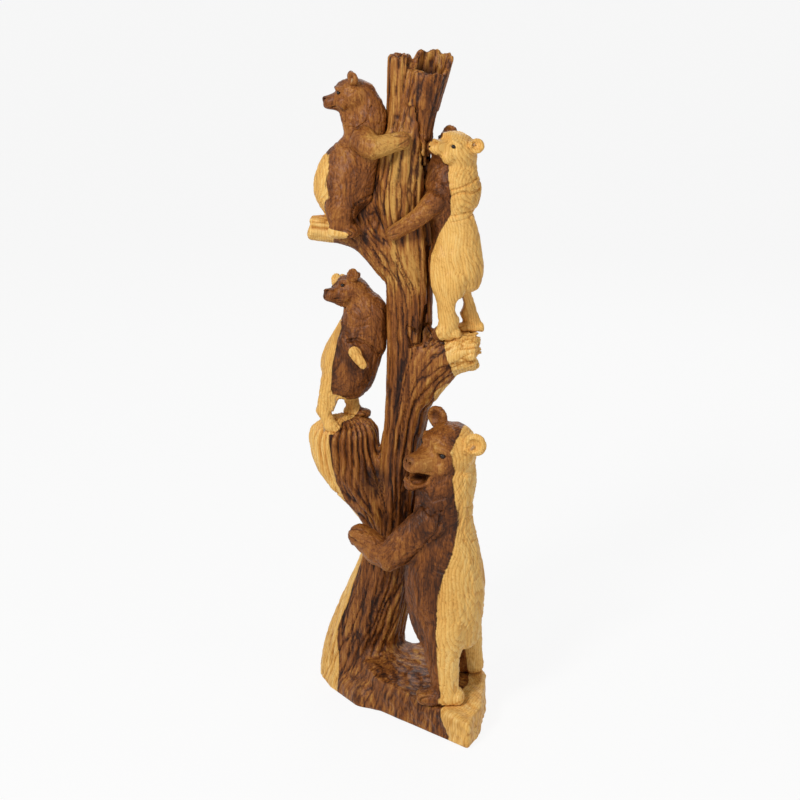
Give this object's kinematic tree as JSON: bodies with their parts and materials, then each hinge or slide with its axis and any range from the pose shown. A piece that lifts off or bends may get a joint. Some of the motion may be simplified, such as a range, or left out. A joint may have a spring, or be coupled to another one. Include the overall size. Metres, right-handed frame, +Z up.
{
  "type": "carved wooden figurine",
  "caption": "Wood carving of a big bear and cubs climbing a hollow tree on a rough ground block, dark heartwood with pale outer wood, coped and dowelled pieces.",
  "frame": {"origin": "on the underside of the ground block, under the front of the tree", "axes": "+Z up, +X to the big bear's side (right in the picture), +Y away from the viewer of the picture"},
  "size_m": [0.2694, 0.3435, 1.0006],
  "materials": {
    "tree_wood": "satin lacquer over gouge-cut bark, dark heart and pale outer wood",
    "bear_wood": "satin lacquer over knife-cut fur, dark heart and pale outer wood",
    "dowel_wood": "plain turned hardwood",
    "eye_bead": "polished dark bead"
  },
  "bodies": {
    "root": {"ground_block": "tree_wood", "trunk": "tree_wood", "hollow_limb": "tree_wood", "solid_limb": "tree_wood", "stub_branch": "tree_wood", "fork_branch": "tree_wood", "seat_branch": "tree_wood", "mother_torso": "bear_wood", "mother_head": "bear_wood", "mother_ears": "bear_wood", "mother_eyes": "eye_bead", "mother_left_arm": "bear_wood", "mother_right_arm": "bear_wood", "mother_left_leg": "bear_wood", "mother_right_leg": "bear_wood", "seat_cub_torso": "bear_wood", "seat_cub_head": "bear_wood", "seat_cub_ears": "bear_wood", "seat_cub_eyes": "eye_bead", "seat_cub_left_arm": "bear_wood", "seat_cub_right_arm": "bear_wood", "seat_cub_left_leg": "bear_wood", "seat_cub_right_leg": "bear_wood", "stub_cub_torso": "bear_wood", "stub_cub_head": "bear_wood", "stub_cub_ears": "bear_wood", "stub_cub_eyes": "eye_bead", "stub_cub_left_arm": "bear_wood", "stub_cub_right_arm": "bear_wood", "stub_cub_left_leg": "bear_wood", "stub_cub_right_leg": "bear_wood", "fork_cub_torso": "bear_wood", "fork_cub_head": "bear_wood", "fork_cub_ears": "bear_wood", "fork_cub_eyes": "eye_bead", "fork_cub_left_arm": "bear_wood", "fork_cub_right_arm": "bear_wood", "fork_cub_left_leg": "bear_wood", "fork_cub_right_leg": "bear_wood", "mother_jaw": "bear_wood", "tree_dowels": "dowel_wood", "mother_dowels": "dowel_wood", "cub_dowels": "dowel_wood", "ear_dowels": "dowel_wood"}
  },
  "joints": []
}
